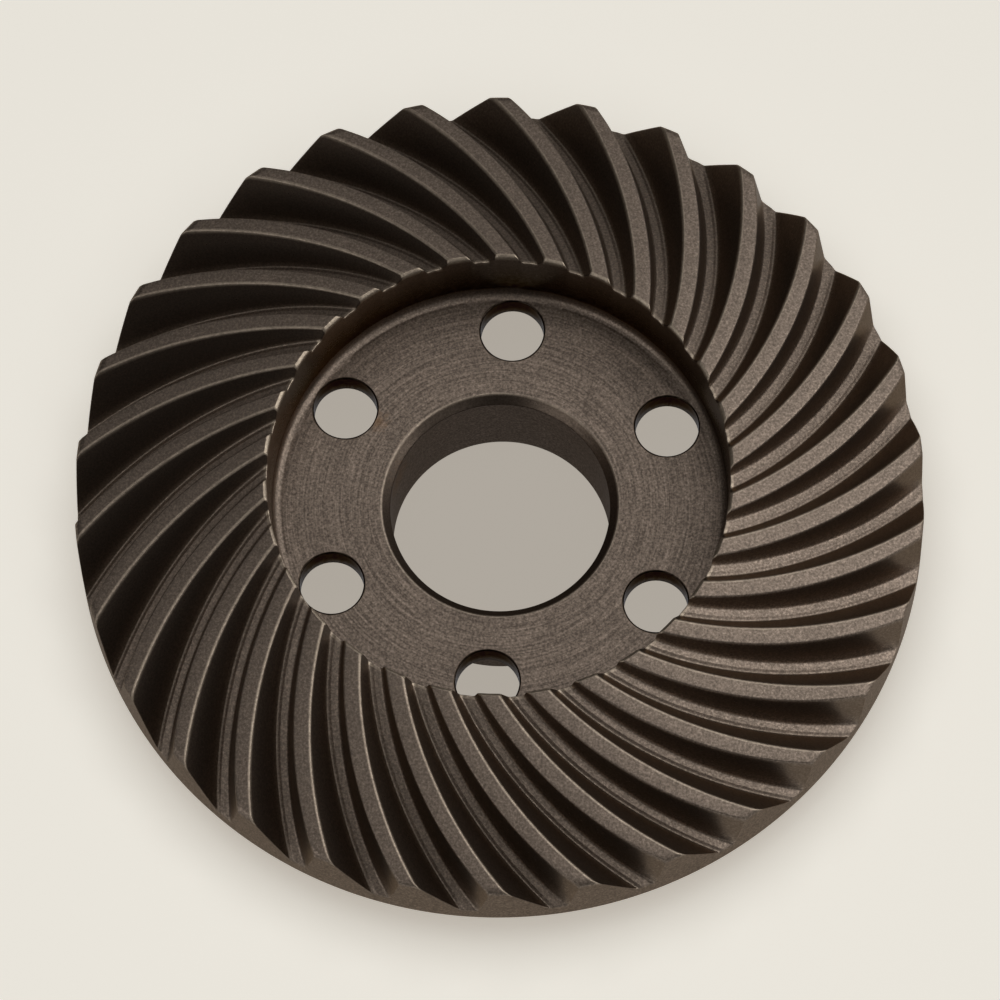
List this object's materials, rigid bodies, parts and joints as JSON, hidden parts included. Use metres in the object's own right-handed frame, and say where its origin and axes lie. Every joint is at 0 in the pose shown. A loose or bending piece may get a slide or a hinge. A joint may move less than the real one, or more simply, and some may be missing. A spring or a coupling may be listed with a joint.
{
  "type": "ring gear",
  "caption": "Spiral bevel ring gear in dark phosphated steel: curved teeth round a dished web with lock-pin holes, and a plain press-fit bore on a short hub.",
  "frame": {"origin": "on the gear's axis, on the end face of the hub, which is the lowest face of the part", "axes": "+Z along the axis from the hub to the teeth, +Y through one of the lock-pin holes"},
  "size_m": [0.077, 0.077, 0.0191],
  "materials": {
    "phosphated_steel": "dark phosphated, satin, edges worn bright"
  },
  "bodies": {
    "root": {"ring_gear": "phosphated_steel"}
  },
  "joints": []
}
